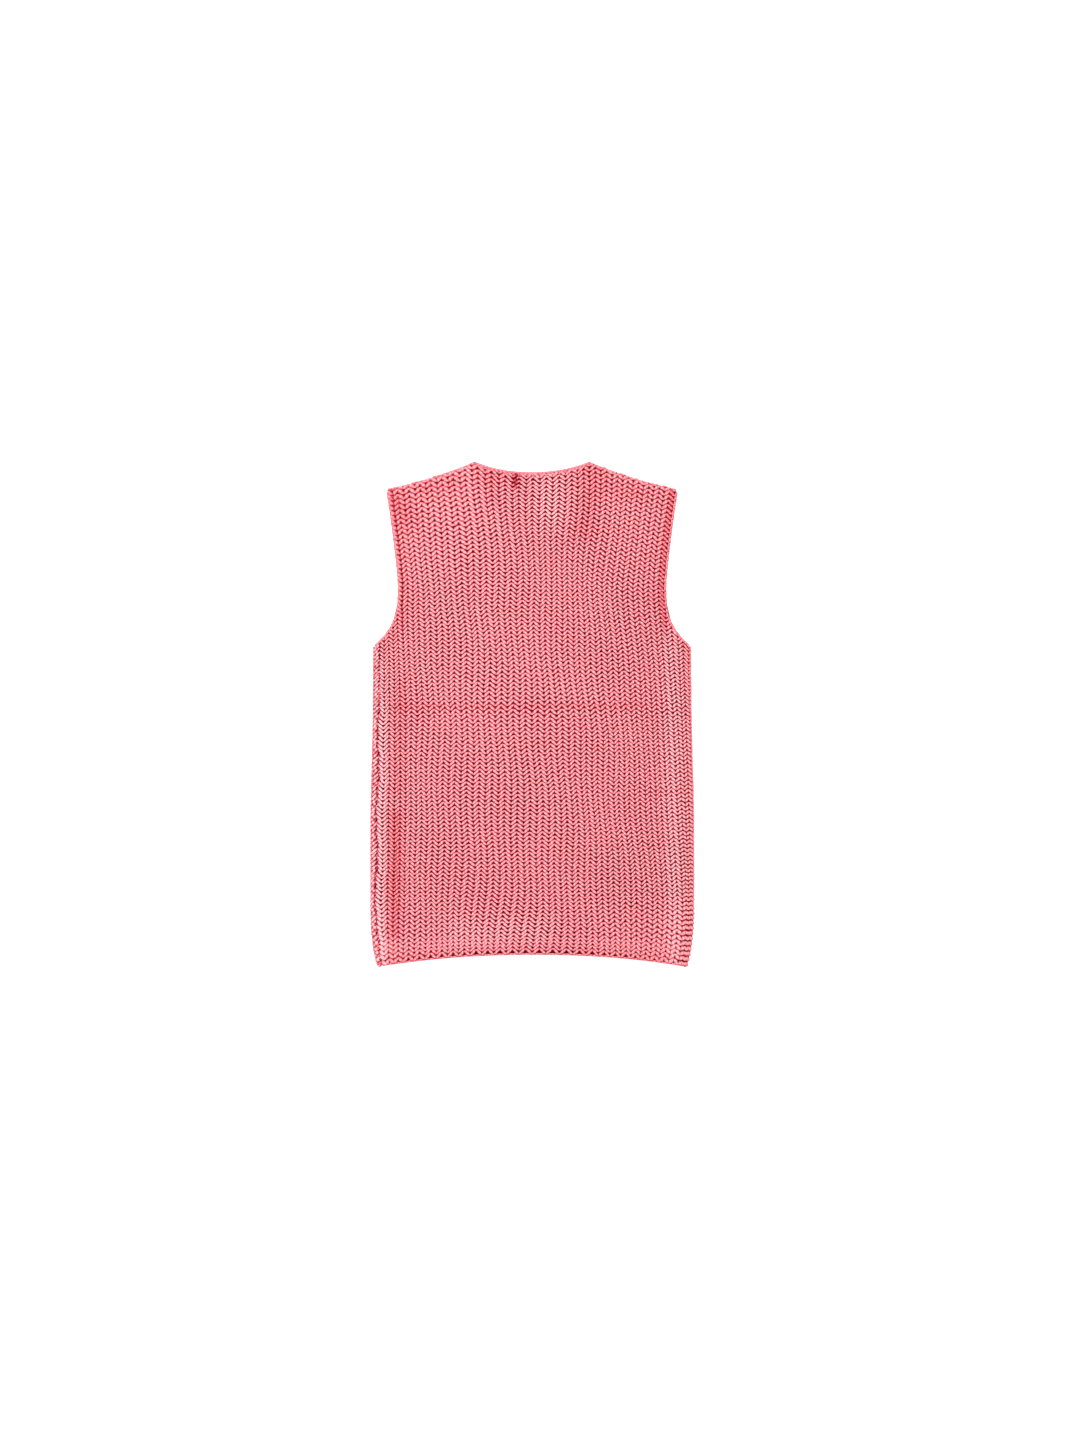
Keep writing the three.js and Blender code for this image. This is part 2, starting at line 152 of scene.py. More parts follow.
# The stitches
YARN_RADIUS = 3.1               # the plumpest leg
LEAST_RADIUS = 0.85             # the thinnest turn
ROWS_APART = [5.2, 5.6, 6.1, 6.8]
LEG_FILL = [0.53, 0.548, 0.588, 0.635]   # a leg's radius, to the distance between rows, at each of these
LOOP_FILL = 0.175               # a loop's radius against the row pitch
LEG_POWER = 1.15
ARCH_RISE = 0.51                # how far a row rises from a rib to the valley beside it, to a column's width
ARCH_MIDDLE = 0.35              # the share of that rise which lies below the row's own height
ROUNDNESS = 0.35                # how far the arches are from straight legs meeting in points
RISE_WIDTHS = (8.0, 13.8)       # the least and the greatest column width that the rise follows
YOKE_RISE = 0.12                # how much steeper the legs are in the middle of the yoke
YOKE_FLATTER = 0.1              # and how much flatter all over it
SWAY = 0.05                     # how much the legs' rise differs from rib to rib
SWAYS = 40
ROW_START = 0.06
HEM_REST = 0.95                 # how high the lowest stitches stand on the hem's line, in radii
BACK_YARN = (BACK_WALL + 0.6, RIB_RELIEF - 0.1)   # the yarn's top over the cloth's inner face, its relief
FRONT_YARN = (FRONT_WALL - 0.4, 0.6)
RIB_ROUND = 0.75
FOOT_WIDTH = 0.09               # the dip between the two legs of a rib, in columns
FOOT_DEPTH = 1.0
GROOVE_WIDTH = 0.08             # the groove beside each armhole's selvedge stitch, in columns
GROOVE_DEPTH = 0.9
RIGHT_GROOVE = 0.7              # the right groove against the left one
POINTS_PER_COLUMN = 10
BACK_CUTS = (-108.0, 100.0)     # the heights at which a panel's rows are cut into pieces
FRONT_CUTS = (-10.0,)
SIDES = 6
FRONT_SIDES = 5
FRONT_COLUMNS = 29
FRONT_POINTS_PER_COLUMN = 8

# The left seam, and the strip of the front beside it
SEAM_WIDTH = 0.13               # in columns on the back, and in millimetres on the front
STRIP_SEAM_WIDTH = 2.4
SEAM_ABOVE = 0.2                # how deep the seam is above the storage crease, to its depth below it
SEAM_DEPTH = 1.5
SEAM_TEETH = 0.05               # how far every other row is shifted at the seam, in columns
SEAM_REACH = 0.7                # how far from the seam its wandering is felt: columns, then millimetres
STRIP_SEAM_REACH = 5.0
STRAND_PLACE = 0.42             # a raised strand with a painted highlight runs along the seam on the back, from the crease down
STRAND_WIDTH = 0.2
STRAND_HEIGHT = 0.4
STRIP_COLUMNS = 1.2
STRIP_LOFT = 0.5
STRIP_KNOT = 4.3                # millimetres from one small knot to the next on the strip beside the seam
KNOT_SHIFT = 2.4
KNOT_SWELL = 0.12
KNOT_HEIGHT = 0.35
STITCH_REACH = 2.5
STITCH_SLANT = 2.2
STITCH_RADIUS = 0.95
STITCH_POINTS = 9
STITCH_HEIGHT = 2.6

# How far the rows' yarn and the cloth behind it stay inside the outline
ROW_ARM_INSET = 1.9
ROW_INSETS = (2.2, 0.4)         # at the neck and at the shoulder seam
CLOTH_INSETS = (1.8, 0.3)
CLOTH_INSET = 1.7
CLOTH_HEM_INSET = 1.6
BACK_SPLIT_INSET = 1.5
FRONT_SPLIT_INSET = 3.0
CLOTH_HALF = 0.35               # half of the cloth's thickness
CLOTH_ROWS = (44, 26)           # its rows of faces below and above the armholes' lower ends

# The edges' yarns: their radii, how far they lie inside the outline, and the length of one of their stitches
EDGE_RADIUS = 1.55
ARM_EDGE_RADIUS = 1.6
ARM_EDGE_PLACE = 1.7
ARM_EDGE_HEIGHT = 1.9
ARM_EDGE_STEP = 11.0
ARM_EDGE_END = 5.0
NECK_EDGE_RADII = (1.5, 1.4)
NECK_EDGE_PLACE = 1.55
NECK_EDGE_HEIGHT = 2.5
NECK_EDGE_STEP = 5.2
HEM_EDGE_RADII = (1.25, 1.4)    # the back's and the front's
HEM_EDGE_PLACES = (1.3, 1.4)
SHOULDER_EDGE_PLACE = 1.75
SHOULDER_EDGE_STEP = 7.2
FRONT_EDGE_Z = 2.0
EDGE_WAVE = 0.25
TIP_SHARE = 0.7                 # how far a yarn's tip goes past its end, in radii

# How the yarn's colour changes: a painted highlight on its upper side, painted shade where it dives into the
# cloth, painted highlights along its plies, and random flecks
TOP_HIGHLIGHT_SHARE = 0.33
LIGHT_LEVEL_SHARE = 0.22
PLY_HIGHLIGHT_SHARE = 0.18
FLECK_SHARE = 0.2
LEVEL_START = 0.10
FOLD_SHADE_SHARE = 0.06               # painted shade in a fold and painted light on a swell, for each millimetre the cloth lies lower or higher
TURN_SHADE_LEVEL = 0.55               # the levels of a row's turns and of its legs: painted shade on the turns, a painted highlight on the legs
LEG_HIGHLIGHT_LEVEL = 1.05
SELVEDGE_SHADE = 1.6            # how much painted shade a place puts into the yarn's level
PINCH_SHADE = 2.9
SEAM_SHADE = 0.8
STRIP_SEAM_SHADE = 0.9
# Painted highlights on the strand beside the seam, on the strip on top and on the strip's knots; the strip's
# is uneven
STRAND_HIGHLIGHT = 0.9
STRIP_HIGHLIGHT = 0.75
STRIP_NOISE = 0.5
KNOT_HIGHLIGHT = 1.5
BACK_LEVELS = (-2.5, 1.7)       # the darkest and the lightest level
STRIP_LEVELS = (-2.5, 2.2)
PLY_TWIST = 1.2566              # two plies round the yarn, each coming round again after 10 mm
UV_PER_MM = 0.1
# The yarn's colours: the dark one is painted shade, the light one a painted highlight, the middle one its own
# coral
BACK_COLOURS = [(0.20, 0.002, 0.012), (0.74, 0.112, 0.144), (0.97, 0.565, 0.60)]
FRONT_COLOURS = [(0.19, 0.002, 0.011), (0.73, 0.11, 0.141), (0.96, 0.555, 0.59)]
# The loops behind the yarn are painted dark as the shade in the holes between the rows; the cloth's inner
# face takes the purl colours
LOOP_SHADE_COLOURS = [(0.15, 0.001, 0.007), (0.29, 0.002, 0.016)]
PURL_COLOURS = [(0.62, 0.10, 0.13), (0.88, 0.36, 0.40)]

# The stage, in metres
LENS_MM = 100.0
SENSOR_MM = 36.0
CAMERA_OFFSET = 0.00066         # half a pixel of the photograph
GARMENT_TOP = 0.010
FLOOR_HALF = 14.0
FLOOR_Z = -0.0004
KEY_PLACE = (-1.0, 1.35, 3.5)
KEY_SIZE = 2.0
KEY_POWER = 146
FILL_PLACE = (0.7, -0.9, 4.2)
FILL_SIZE = 2.4
FILL_POWER = 60
AMBIENT = (1.0, 0.76, 0.78, 1)
AMBIENT_STRENGTH = 0.38

UP = np.array([0.0, 0.0, 1.0])
rng = np.random.default_rng(SEED)


def ease(low, high, v):
    t = np.clip((np.asarray(v, float) - low) / (high - low), 0, 1)
    return t * t * (3 - 2 * t)


def mix(a, b, t):
    return a + (b - a) * t


def mark(distance, width):
    """1 on a line or at a place, dying away over a width."""
    return np.exp(-((distance / width) ** 2))


def waves(table, along, across=0.0):
    """The sum of a table's waves."""
    total = 0.0
    for height, length, slant, start in table:
        total = total + height * np.sin(along / length + slant * across + start)
    return total


def section(name, y):
    """A named row of SECTIONS at a height, on a smooth curve through its values."""
    ys = np.array(SECTIONS["y"], float)
    vs = np.array(SECTIONS[name], float)
    y = np.clip(np.asarray(y, float), ys[0], ys[-1])
    k = np.clip(np.searchsorted(ys, y, side="right"), 1, len(ys) - 1)
    low = np.maximum(np.arange(len(ys)) - 1, 0)
    high = np.minimum(np.arange(len(ys)) + 1, len(ys) - 1)
    slopes = (vs[high] - vs[low]) / (ys[high] - ys[low])
    span = ys[k] - ys[k - 1]
    t = (y - ys[k - 1]) / span
    bow = span * t * (1 - t) * (slopes[k - 1] * (1 - t) - slopes[k] * t)
    return mix(vs[k - 1], vs[k], t * t * (3 - 2 * t)) + bow


def hem_y(x):
    return HEM_MIDDLE_Y + (HEM_CORNER_Y - HEM_MIDDLE_Y) * np.abs(x / HEM_HALF) ** HEM_POWER


def shoulder_y(x):
    t = np.clip((np.abs(x) - NECK_HALF) / (SHOULDER_HALF - NECK_HALF), 0, 1)
    return mix(NECK_POINT_Y, SHOULDER_TIP_Y, t) - SHOULDER_SAG * np.sin(np.pi * t)


def top_y(x, neck_y, power):
    t = np.clip(np.abs(x) / NECK_HALF, 0, 1)
    return np.where(np.abs(x) < NECK_HALF, mix(neck_y, NECK_POINT_Y, t**power), shoulder_y(x))


def back_top(x):
    return top_y(x, BACK_NECK_Y, BACK_NECK_POWER)


def front_top(x):
    return top_y(x, FRONT_NECK_Y, FRONT_NECK_POWER)


def top_end(x, top, insets):
    """How far up the cloth goes: to just inside the neck's edge, or round the shoulder's bend to its seam."""
    neck, shoulder = insets
    return np.where(np.abs(x) < NECK_HALF, top - neck, top - BEND_OUTER + BEND_OUTER * QUARTER - shoulder)


def armhole_y(x):
    t = np.clip((np.abs(x) - CHEST_HALF) / (UNDERARM_HALF - CHEST_HALF), 0, 1)
    return UNDERARM_Y + (CHEST_Y - UNDERARM_Y) * (1 - np.cbrt(t))


def armhole_half(y):
    y = np.asarray(y, float)
    up = np.clip((y - CHEST_Y) / (SHOULDER_TIP_Y - CHEST_Y), 0, None)
    high = CHEST_HALF + (SHOULDER_HALF - CHEST_HALF) * up**ARMHOLE_POWER
    t = np.clip((y - UNDERARM_Y) / (CHEST_Y - UNDERARM_Y), 0, 1)
    low = CHEST_HALF + (UNDERARM_HALF - CHEST_HALF) * (1 - t) ** 3
    return np.where(y > CHEST_Y, high, low)


SPLIT_Y = float(armhole_y(SPLIT_X))


def edge_distance(x, y):
    """Distance to the back's nearest free edge."""
    far = np.full(np.broadcast(x, y).shape, FAR)
    to_hem = y - hem_y(x)
    to_arm = np.where(y > UNDERARM_Y, np.abs(armhole_half(y) - np.abs(x)), far)
    to_under = np.where(np.abs(x) > CHEST_HALF, np.abs(armhole_y(x) - y), far)
    to_neck = np.where(np.abs(x) < NECK_HALF, back_top(x) - y, far)
    return np.maximum(0, np.minimum.reduce([to_hem, to_arm, to_under, to_neck]))


def line_distance(x, y, line):
    """Distance to a line from x0, y0 to x1, y1."""
    x0, y0, x1, y1 = line
    dx = x1 - x0
    dy = y1 - y0
    t = np.clip(((x - x0) * dx + (y - y0) * dy) / (dx * dx + dy * dy), 0, 1)
    return np.hypot(x - x0 - t * dx, y - y0 - t * dy)


def loft(x, y):
    """How much higher or lower the back lies than it would with no folds."""
    lift = np.zeros(np.broadcast(x, y).shape)
    for *line, width, height in FOLDS:
        lift = lift + height * mark(line_distance(x, y, line), width)
    return lift - SETTLED * np.exp(-edge_distance(x, y) / SETTLE_REACH)


def bend_x(y):
    return section("half", y) - BEND_OUTER


def column_x(column, y):
    """Where a rib column of the back runs: x on the top, going on round the right-hand fold."""
    yoke = y > SPLIT_Y
    half = armhole_half(y)
    left = np.where(yoke, -half, section("left", y))
    right = np.where(yoke, half, section("right", y))
    s = (column - LEFT_COLUMN) / (RIGHT_COLUMN - LEFT_COLUMN)
    spread = SPREAD + HEM_SPREAD * ease(-60, -300, y) + YOKE_SPREAD * ease(180, 300, y)
    wider = spread * np.sin(2 * np.pi * s) / (2 * np.pi)
    middle = mix(left, right, s - wider + SKEW * np.sin(np.pi * s) ** 2)
    seam = section("seam", y)
    outer_left = mix(seam, left, (column - SEAM_COLUMN) / (LEFT_COLUMN - SEAM_COLUMN))
    end = bend_x(y) + BEND_OUTER * QUARTER
    outer_right = mix(right, end, (column - RIGHT_COLUMN) / (BEND_COLUMN - RIGHT_COLUMN))
    return np.where(column < LEFT_COLUMN, outer_left, np.where(column > RIGHT_COLUMN, outer_right, middle))


def shoulder_share(x):
    return ease(SHOULDER_START, SHOULDER_FULL, np.abs(x))


def back_surface(column, v, height):
    """The point height above the back's inner face at a rib column and a height v up the body. It goes round
    the right-hand fold, and over the bend along the shoulders, where v is a length of cloth."""
    along = column_x(column, v)
    fold = np.where(v > SPLIT_Y, FAR, bend_x(v))
    side = np.clip((along - fold) / BEND_OUTER, 0, QUARTER)
    x = np.minimum(along, fold)
    start = back_top(x) - BEND_OUTER
    share = shoulder_share(x)
    angle = np.where(v > start, np.clip((v - start) / BEND_OUTER, 0, QUARTER), 0) * share
    y = np.where((v > start) & (share > 0.5), start, v)
    rho = BEND_INNER + height
    lifted = np.maximum(LAYER_GAP + loft(x, y), LEAST_GAP) - LAYER_GAP
    flat = np.cos(np.maximum(side, angle)) ** 2
    z = BEND_Z + rho * np.cos(side) * np.cos(angle) + lifted * flat
    return np.stack([x + rho * np.sin(side), y + rho * np.sin(angle), z], axis=-1)


def front_lengths(y):
    """The front's reach to either side at a height, and the lengths of cloth to the end of the top strip, of
    the left bend, of the underside and of the right bend."""
    reach = bend_x(y)
    strip = np.maximum(section("seam", y) + reach, LEAST_STRIP)
    bend = strip + math.pi * BEND_OUTER
    under = bend + 2 * reach
    return reach, strip, bend, under, under + QUARTER * BEND_OUTER


def front_surface(column, v, height):
    """The point height outside the front's inner face, from the seam on the left of the top, down round the
    left fold, under the garment and up to the equator of the right-hand fold."""
    y = np.minimum(v, SPLIT_Y)
    reach, strip, bend, under, total = front_lengths(y)
    a = total * column / FRONT_COLUMNS
    rho = BEND_INNER + height
    left_angle = np.clip((a - strip) / BEND_OUTER, 0, math.pi)
    right_angle = np.clip((a - under) / BEND_OUTER, 0, QUARTER)
    below = np.where(a < bend, -reach, np.minimum(a - bend - reach, reach))
    x = np.where(a < strip, -reach + strip - a, below)
    angle = np.where(a < bend, left_angle, math.pi + right_angle)
    lifted = np.maximum(loft(x, v), LEAST_GAP - LAYER_GAP) * np.clip(np.cos(angle), 0, 1)
    shoulder = front_top(x) - BEND_OUTER
    share = shoulder_share(x)
    over = np.where((v > shoulder) & (a > bend), np.clip((v - shoulder) / BEND_OUTER, 0, QUARTER), 0) * share
    yy = np.where(over > 0, shoulder, v) + rho * np.sin(over)
    z = BEND_Z + rho * np.cos(angle) * np.cos(over) + lifted
    return np.stack([x - rho * np.sin(angle), yy, z], axis=-1)


def new_mesh(name, points, faces, uvs=None, light_levels=None):
    mesh = bpy.data.meshes.new(name)
    points = np.asarray(points, np.float32) * MM
    faces = np.asarray(faces, np.int32)
    mesh.vertices.add(len(points))
    mesh.vertices.foreach_set("co", points.ravel())
    mesh.loops.add(faces.size)
    mesh.loops.foreach_set("vertex_index", faces.ravel())
    mesh.polygons.add(len(faces))
    width = faces.shape[1]
    mesh.polygons.foreach_set("loop_start", np.arange(len(faces), dtype=np.int32) * width)
    mesh.polygons.foreach_set("loop_total", np.full(len(faces), width, np.int32))
    mesh.polygons.foreach_set("use_smooth", np.ones(len(faces), bool))
    if uvs is not None:
        layer = mesh.uv_layers.new(name="UVMap")
        layer.data.foreach_set("uv", np.asarray(uvs, np.float32).ravel())
        layer = mesh.uv_layers.new(name="Depth")
        layer.data.foreach_set("uv", np.asarray(light_levels, np.float32).ravel())
        mesh.uv_layers["UVMap"].active = True
        mesh.uv_layers["UVMap"].active_render = True
    mesh.update(calc_edges=True)
    mesh.validate()
    piece = bpy.data.objects.new(name, mesh)
    bpy.context.scene.collection.objects.link(piece)
    return piece


def tube(path, normal, radius, sides, level):
    """Points, faces, UVs and painted light levels of a closed yarn along a path, its ends drawn in to rounded
    tips. The UVs are the length along the yarn and the turn round it, and level sets the painted light and
    shade in its colour: higher is lighter."""
    path = np.asarray(path, float)
    n = len(path)
    tangent = np.gradient(path, axis=0)
    tangent /= np.linalg.norm(tangent, axis=1, keepdims=True) + 1e-12
    across = np.cross(normal, tangent)
    across /= np.linalg.norm(across, axis=1, keepdims=True) + 1e-12
    up = np.cross(tangent, across)
    radii = np.full(n, radius) if np.isscalar(radius) else np.asarray(radius, float)
    angles = 2 * np.pi * np.arange(sides) / sides
    ring = (
        path[:, None, :]
        + radii[:, None, None] * np.cos(angles)[None, :, None] * across[:, None, :]
        + radii[:, None, None] * np.sin(angles)[None, :, None] * up[:, None, :]
    )
    tips = [path[0] - tangent[0] * radii[0] * TIP_SHARE, path[-1] + tangent[-1] * radii[-1] * TIP_SHARE]
    points = np.concatenate([ring.reshape(-1, 3), tips])
    i = np.arange(n - 1)[:, None]
    k = np.arange(sides)[None, :]
    a = (i * sides + k).ravel()
    b = (i * sides + (k + 1) % sides).ravel()
    c = b + sides
    d = a + sides
    walls = np.concatenate([np.stack([a, c, b], 1), np.stack([a, d, c], 1)])
    first = np.arange(sides)
    following = (first + 1) % sides
    start = np.stack([np.full(sides, n * sides), first, following], 1)
    last = (n - 1) * sides
    end = np.stack([np.full(sides, n * sides + 1), last + following, last + first], 1)
    faces = np.concatenate([walls, start, end])
    length = np.concatenate([[0], np.cumsum(np.linalg.norm(np.diff(path, axis=0), axis=1))])
    u = np.concatenate([np.repeat(length, sides), [length[0], length[-1]]]) * UV_PER_MM
    turn = np.concatenate([np.tile(np.arange(sides) / sides, n), [0.5, 0.5]])
    w = turn[faces]
    wrapped = (w.max(axis=1, keepdims=True) - w) > 0.5
    levels = np.full(n, level) if np.isscalar(level) else np.asarray(level, float)
    depth = np.concatenate([np.repeat(levels, sides), [levels[0], levels[-1]]])[faces]
    uvs = np.stack([u[faces], w + wrapped], axis=-1)
    return points, faces, uvs, np.stack([depth, depth], axis=-1)


class Yarn:
    """Gathers tubes into one mesh."""

    def __init__(self):
        self.points = []
        self.faces = []
        self.uvs = []
        self.light_levels = []
        self.count = 0

    def add(self, path, normal, radius=EDGE_RADIUS, sides=SIDES, level=0.5):
        points, faces, uvs, light_levels = tube(path, normal, radius, sides, level)
        uvs[..., 0] += rng.uniform(0, 10)
        self.points.append(points)
        self.faces.append(faces + self.count)
        self.uvs.append(uvs)
        self.light_levels.append(light_levels)
        self.count += len(points)

    def build(self, name):
        parts = [np.concatenate(rows) for rows in (self.points, self.faces, self.uvs, self.light_levels)]
        return new_mesh(name, *parts)


def runs(inside, least=4):
    """The stretches of a row that lie inside the outline."""
    edges = np.flatnonzero(np.diff(np.concatenate([[0], inside.astype(int), [0]])))
    return [(a, b) for a, b in zip(edges[::2], edges[1::2]) if b - a >= least]


def slow_noise(count, step, size):
    """Smooth seeded noise along a row, with one free value in each step points."""
    knots = rng.normal(0, size, count // step + 3)
    return np.interp(np.arange(count) / step, np.arange(len(knots)), knots)


def pitch_at(s):
    return float(np.interp(s, PITCH_Y, ROW_PITCH))


def row_levels():
    """The heights of the rows at the middle of the body, from the hem to above the shoulders."""
    levels = [HEM_MIDDLE_Y + FIRST_ROW]
    while levels[-1] < NECK_POINT_Y + ROWS_PAST_TOP:
        s = levels[-1]
        levels.append(s + pitch_at(s) + CREASE_OPEN * float(mark(s - CREASE_Y, CREASE_REACH)))
    return np.array(levels)


def row_height(s, x):
    """The rows follow the hem's curve low down, sag beside the armholes and rise towards the shoulders."""
    away = np.abs(x)
    low = (hem_y(x) - HEM_MIDDLE_Y) * max(0.0, 1 - (s - HEM_MIDDLE_Y) / HEM_REACH) ** 2
    sag = -ROW_SAG * (away / SAG_HALF) ** 3.2 * float(ease(-40, 130, s))
    sag = sag * (1 - 0.6 * float(ease(150, 290, s)))
    climb = np.where(x < 0, LEFT_CLIMB, RIGHT_CLIMB) * ease(5, 105, away)
    climb = climb * (max(0.0, s - CLIMB_START) / CLIMB_SPAN) ** 2.2
    right = RIGHT_RISE * ease(20, 120, x) * float(ease(-300, -250, s) * (1 - ease(-60, 10, s)))
    return s + low + sag + climb + right


def row_spacing(s, x):
    """How far a row is from the next one, along it."""
    return pitch_at(s) * (row_height(s + 0.5, x) - row_height(s - 0.5, x))


def turn_distance(column):
    """0 at the turns on the ribs and 1 at those in the valleys."""
    return 2 * np.abs(column - 0.5 - np.round(column - 0.5))


def leg_share(column):
    """1 in the middle of each leg and 0 at the turns between legs."""
    return np.sin(np.pi * turn_distance(column)) ** LEG_POWER


def arch(column):
    """0 on a rib and 1 in the valleys beside it, between straight legs and a plain wave."""
    away = turn_distance(column)
    return mix(away, 0.5 - 0.5 * np.cos(np.pi * away), ROUNDNESS)


def yarn_radius(v, x, leg, apart):
    """Legs are plump and touch the next row's, and the turns between them are drawn thin and leave a hole."""
    slope = np.abs(np.gradient(v)) / np.maximum(np.abs(np.gradient(x)), 0.05)
    fill = np.interp(apart, ROWS_APART, LEG_FILL)
    thick = apart * mix(LOOP_FILL, fill / np.sqrt(1 + slope * slope), leg)
    return np.clip(thick, LEAST_RADIUS, YARN_RADIUS)


def yarn_height(column, yarn, radius):
    """How high a row's yarn runs over the inner face: high on a rib's two legs, low in the valleys."""
    wall, relief = yarn
    rib = (0.5 - 0.5 * np.cos(2 * np.pi * column)) ** RIB_ROUND
    return wall + relief * rib - radius - FOOT_DEPTH * mark(column - np.floor(column) - 0.5, FOOT_WIDTH)


def selvedge_groove(column, s):
    """1 along the line between each armhole's selvedge stitch and the ribs beside it."""
    both = mark(column - LEFT_COLUMN - 0.5, GROOVE_WIDTH)
    both = both + RIGHT_GROOVE * mark(column - RIGHT_COLUMN + 0.5, GROOVE_WIDTH)
    return both * float(ease(UNDERARM_Y, UNDERARM_Y + 40, s))


def below_crease(s):
    """1 below the storage crease, where the seam shows most, and 0 above it."""
    return 1 - float(ease(0, 30, s))


def seam_wander(y):
    """How far the seam strays to either side, below the crease."""
    return waves(SEAM_WAVES, y) * (1 - ease(-10, 40, y))


def rib_drift(column, s):
    """How far, in columns, the ribs stray from their even places as they run up the body."""
    return waves(RIB_WAVES, s, column) * ease(0.5, 4, column) * (1 - ease(19, 26, column))


def back_rows():
    """The back's rows, in three pieces from the hem up."""
    count = int((BEND_COLUMN - SEAM_COLUMN) * POINTS_PER_COLUMN) + 1
    column = np.linspace(SEAM_COLUMN + ROW_START, BEND_COLUMN, count)
    sway = 1 + SWAY * rng.normal(size=SWAYS)
    sway = sway[np.clip(np.round(column).astype(int) + 2, 0, SWAYS - 1)]
    leg = leg_share(column)
    yarns = [Yarn() for _ in range(len(BACK_CUTS) + 1)]
    for index, s in enumerate(row_levels()):
        x = column_x(column, np.full(count, s))
        base = row_height(s, x)
        width = np.abs(np.gradient(column_x(column, base), column))
        at_hem = float(ease(-290, -316, s))
        middle = 1 - ease(20, 110, np.abs(x))
        rise = ARCH_RISE * np.clip(width, *RISE_WIDTHS) * sway
        rise = rise * (1 + float(ease(130, 260, s)) * (YOKE_RISE * middle - YOKE_FLATTER))
        v = base + rise * (arch(column) - ARCH_MIDDLE * (1 - at_hem)) + slow_noise(count, 7, ROW_JITTER)
        v = v + waves(ROW_WAVES, x, s) * (1 - at_hem)
        radius = yarn_radius(v, x, leg, row_spacing(s, x))
        v = np.maximum(v, hem_y(x) + radius * HEM_REST)
        height = yarn_height(column, BACK_YARN, radius) + slow_noise(count, 9, LOFT_JITTER)
        selvedge = selvedge_groove(column, s)
        seam = mark(column - SEAM_COLUMN, SEAM_WIDTH) * mix(SEAM_ABOVE, 1, below_crease(s))
        strand = mark(column - SEAM_COLUMN - STRAND_PLACE, STRAND_WIDTH) * below_crease(s)
        height = height - GROOVE_DEPTH * selvedge - SEAM_DEPTH * seam + STRAND_HEIGHT * strand
        columns = column + slow_noise(count, 11, RIB_JITTER) + rib_drift(column, s)
        columns = np.clip(columns + SEAM_TEETH * (-1) ** index * seam, SEAM_COLUMN, BEND_COLUMN)
        columns = columns + seam_wander(s) / width * np.exp(-(column - SEAM_COLUMN) / SEAM_REACH)
        points = back_surface(columns, v, height)
        normal = back_surface(columns, v, height + 1) - points
        flat_x = np.minimum(column_x(columns, v), bend_x(v))
        yoke = v > UNDERARM_Y
        to_arm = np.where(yoke, armhole_half(v) - np.abs(column_x(columns, v)), FAR)
        to_top = top_end(flat_x, back_top(flat_x), ROW_INSETS) - v
        beside = (v > SPLIT_Y) & (columns < LEFT_COLUMN)
        inside = (to_arm > ROW_ARM_INSET) & (to_top > 0) & ~beside
        pinch = mark(line_distance(points[:, 0], points[:, 1], PINCH), PINCH_WIDTH)
        # The yarn's painted light and shade: legs lighter than turns, shade in folds and light on swells,
        # shade in the selvedge grooves, the neck pinch and the seam, a highlight on the strand beside the
        # seam
        level = mix(TURN_SHADE_LEVEL, LEG_HIGHLIGHT_LEVEL, leg) + FOLD_SHADE_SHARE / LIGHT_LEVEL_SHARE * loft(flat_x, v)
        level = level - SELVEDGE_SHADE * selvedge - PINCH_SHADE * pinch
        level = np.clip(level - SEAM_SHADE * seam + STRAND_HIGHLIGHT * strand, *BACK_LEVELS)
        target = yarns[np.searchsorted(BACK_CUTS, s, side="right")]
        for a, b in runs(inside):
            target.add(points[a:b], normal[a:b], radius[a:b], level=level[a:b])
    return [yarn.build(f"back_rows_{k + 1}") for k, yarn in enumerate(yarns)]


